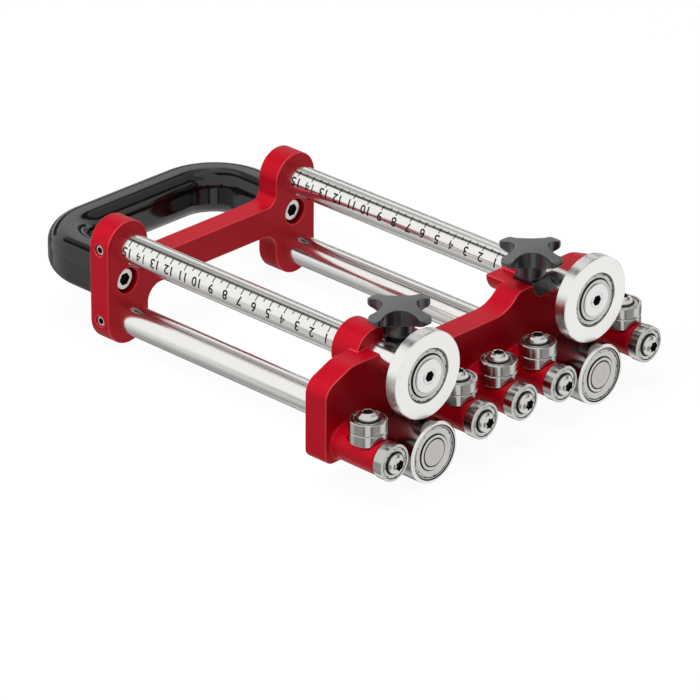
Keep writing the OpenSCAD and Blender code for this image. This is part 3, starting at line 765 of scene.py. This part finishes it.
# Rollers: turned steel tubes under the discs, each on two shielded bearings that
# sit flush in its ends, over the plain end of the lower rod.
turned_steel = finish("turned_steel", (0.42, 0.40, 0.37), (0.58, 0.56, 0.53), (0.20, 0.30), 1.0,
                      group=ring_marks, values=(("Rings", 12), ("Cloud", 3), ("Cloud share", 0.7)),
                      bump=0.01, coords="UV")
faced_steel = finish("faced_steel", (0.72, 0.715, 0.70), (0.84, 0.835, 0.825), (0.22, 0.32), 1.0,
                     bump=0.1)
# Painted reflection: the rollers' outsides are painted darker, standing for the dark plate they
# mirror.
dark_reflection_steel = finish("dark_reflection_steel", (0.27, 0.25, 0.24), (0.36, 0.34, 0.325), (0.14, 0.22), 1.0,
                    stretch=(1, 0.12, 1), bump=0.05)
rod_r, journal_r = 8, 7.5
rod_end_face, rod_end_chamfer = 0.00001, 0.0005
seat_r, seat_deep = 14.02, 7.05
seat_from, seat_to, skin_from = 0.0139, 0.0145, 0.0158
race_edge = 0.00895
large_bearing = {"od": 28, "width": 7, "bore": 10.55, "steps": 72, "nick_every": 6, "sink": 0.3}


def mirrored(half, width):
    """A closed profile from the half at one face and the same half at the other."""
    return half + [(a, width - b) for a, b in half[::-1]]


for side in ("left", "right"):
    low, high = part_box("lower_rod_" + side)
    shoulder = (high.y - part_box("roller_" + side)[1].y) * 1000
    long = (high.y - low.y) * 1000
    rod = turned([(0, 0), (journal_r, 0), (rod_r, 0.5), (rod_r, shoulder), (journal_r, shoulder),
                  (journal_r, long - 0.45), (6.85, long), (0, long)],
                 along("lower_rod_" + side), 96)
    # The chamfer round the rod's front end is painted dark as shade.
    for face in rod.faces:
        y = face.calc_center_median().y
        if y < low.y + rod_end_chamfer:
            face.material_index = 1 if y < low.y + rod_end_face else 2
    settle(rod, "shouldered_rod_" + side, "frame",
           [ground_steel, turned_steel, gap_painted_shade], ["lower_rod_" + side])
    low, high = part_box("roller_" + side)
    middle = (low + high) / 2
    r, w = (high.x - low.x) * 500, (high.y - low.y) * 1000
    end = [(12.5, seat_deep), (seat_r, seat_deep), (seat_r, 0.4), (14.4, 0), (r - 0.8, 0),
           (r - 0.65, 0.06), (r - 0.06, 0.65), (r, 0.8)]
    # The tube's outside takes the darker steel, a painted reflection of the plate behind.
    tube = turned(mirrored(end, w), along("roller_" + side), 96, closed=True)
    for face in tube.faces:
        p = face.calc_center_median()
        from_axis = math.hypot(p.x - middle.x, p.z - middle.z)
        # The chamfered bearing seat is painted dark as shade.
        if seat_from < from_axis < seat_to:
            face.material_index = 1
        elif from_axis > skin_from:
            face.material_index = 2
        elif from_axis > seat_to:
            face.material_index = 3
    settle(tube, "roller_tube_" + side, "roller_" + side,
           [turned_steel, gap_painted_shade, dark_reflection_steel, faced_steel], ["roller_" + side])
    low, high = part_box("roller_outer_rings_" + side)
    rings, races = [], []
    for rear in (high.y, low.y + 0.007):
        place = Matrix.Translation((middle.x, rear, middle.z)) @ to_front
        rings.append(shielded_ring(place, inner=9.4, crimp=13.2, **large_bearing))
        step = [(7.52, 0.2), (7.72, 0), (8.85, 0), (9, 0.15), (9, 1.1), (10.5, 1.1)]
        race = turned(mirrored(step, large_bearing["width"]), place, 72, closed=True)
        # The race's outer ledge is painted dark as shade.
        for face in race.faces:
            p = face.calc_center_median()
            if math.hypot(p.x - middle.x, p.z - middle.z) > race_edge:
                face.material_index = 1
        races.append(race)
    settle(merged(races), "roller_races_" + side, nodes["roller_inner_rings_" + side]["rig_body"],
           [inner_steel, gap_painted_shade], ["roller_inner_rings_" + side])
    settle(merged(rings), "roller_bearings_" + side, "roller_" + side,
           [bearing_steel, gap_painted_shade], ["roller_outer_rings_" + side])

# Discs: hardened steel, faced and turned in one setting, so that fine rings run
# round the face. Each turns on one bearing under a flat cap screw.
disc_steel = finish("disc_steel", (0.80, 0.79, 0.765), (0.91, 0.90, 0.875), (0.24, 0.32), 1.0,
                    group=ring_marks, values=(("Rings", 90), ("Cloud", 3), ("Cloud share", 0.7)),
                    bump=0.03, coords="UV")
disc_bore = 0.0141
for side in ("left", "right"):
    low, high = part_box("disc_" + side)
    middle = (low + high) / 2
    r, w = (high.x - low.x) * 500, (high.y - low.y) * 1000
    half = [(seat_r, 0.8), (14.06, 0.25), (14.2, 0), (r - 0.55, 0), (r - 0.45, 0.03),
            (r - 0.03, 0.45), (r, 0.55)]
    disc = turned(mirrored(half, w), along("disc_" + side), 128, closed=True)
    # The chamfer of the bore is painted dark as shade.
    for face in disc.faces:
        p = face.calc_center_median()
        if math.hypot(p.x - middle.x, p.z - middle.z) < disc_bore:
            face.material_index = 1
    settle(disc, "bending_disc_" + side, "disc_" + side, [disc_steel, gap_painted_shade],
           ["disc_" + side])
    settle(shielded_ring(along("disc_outer_ring_" + side), inner=11.15, crimp=13.5,
                         **large_bearing),
           "disc_bearing_" + side, "disc_" + side, [bearing_steel, gap_painted_shade],
           ["disc_outer_ring_" + side])
    paint("disc_inner_ring_" + side, inner_steel)
    # The cap screw's socket is painted dark as shade.
    settle(dark_inside(broken_edges("disc_cap_" + side, 0.0002), reach=0.0031, across=1),
           "disc_cap_screw_" + side, nodes["disc_cap_" + side]["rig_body"],
           [faced_steel, socket_painted_shade], ["disc_cap_" + side])

low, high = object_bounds()
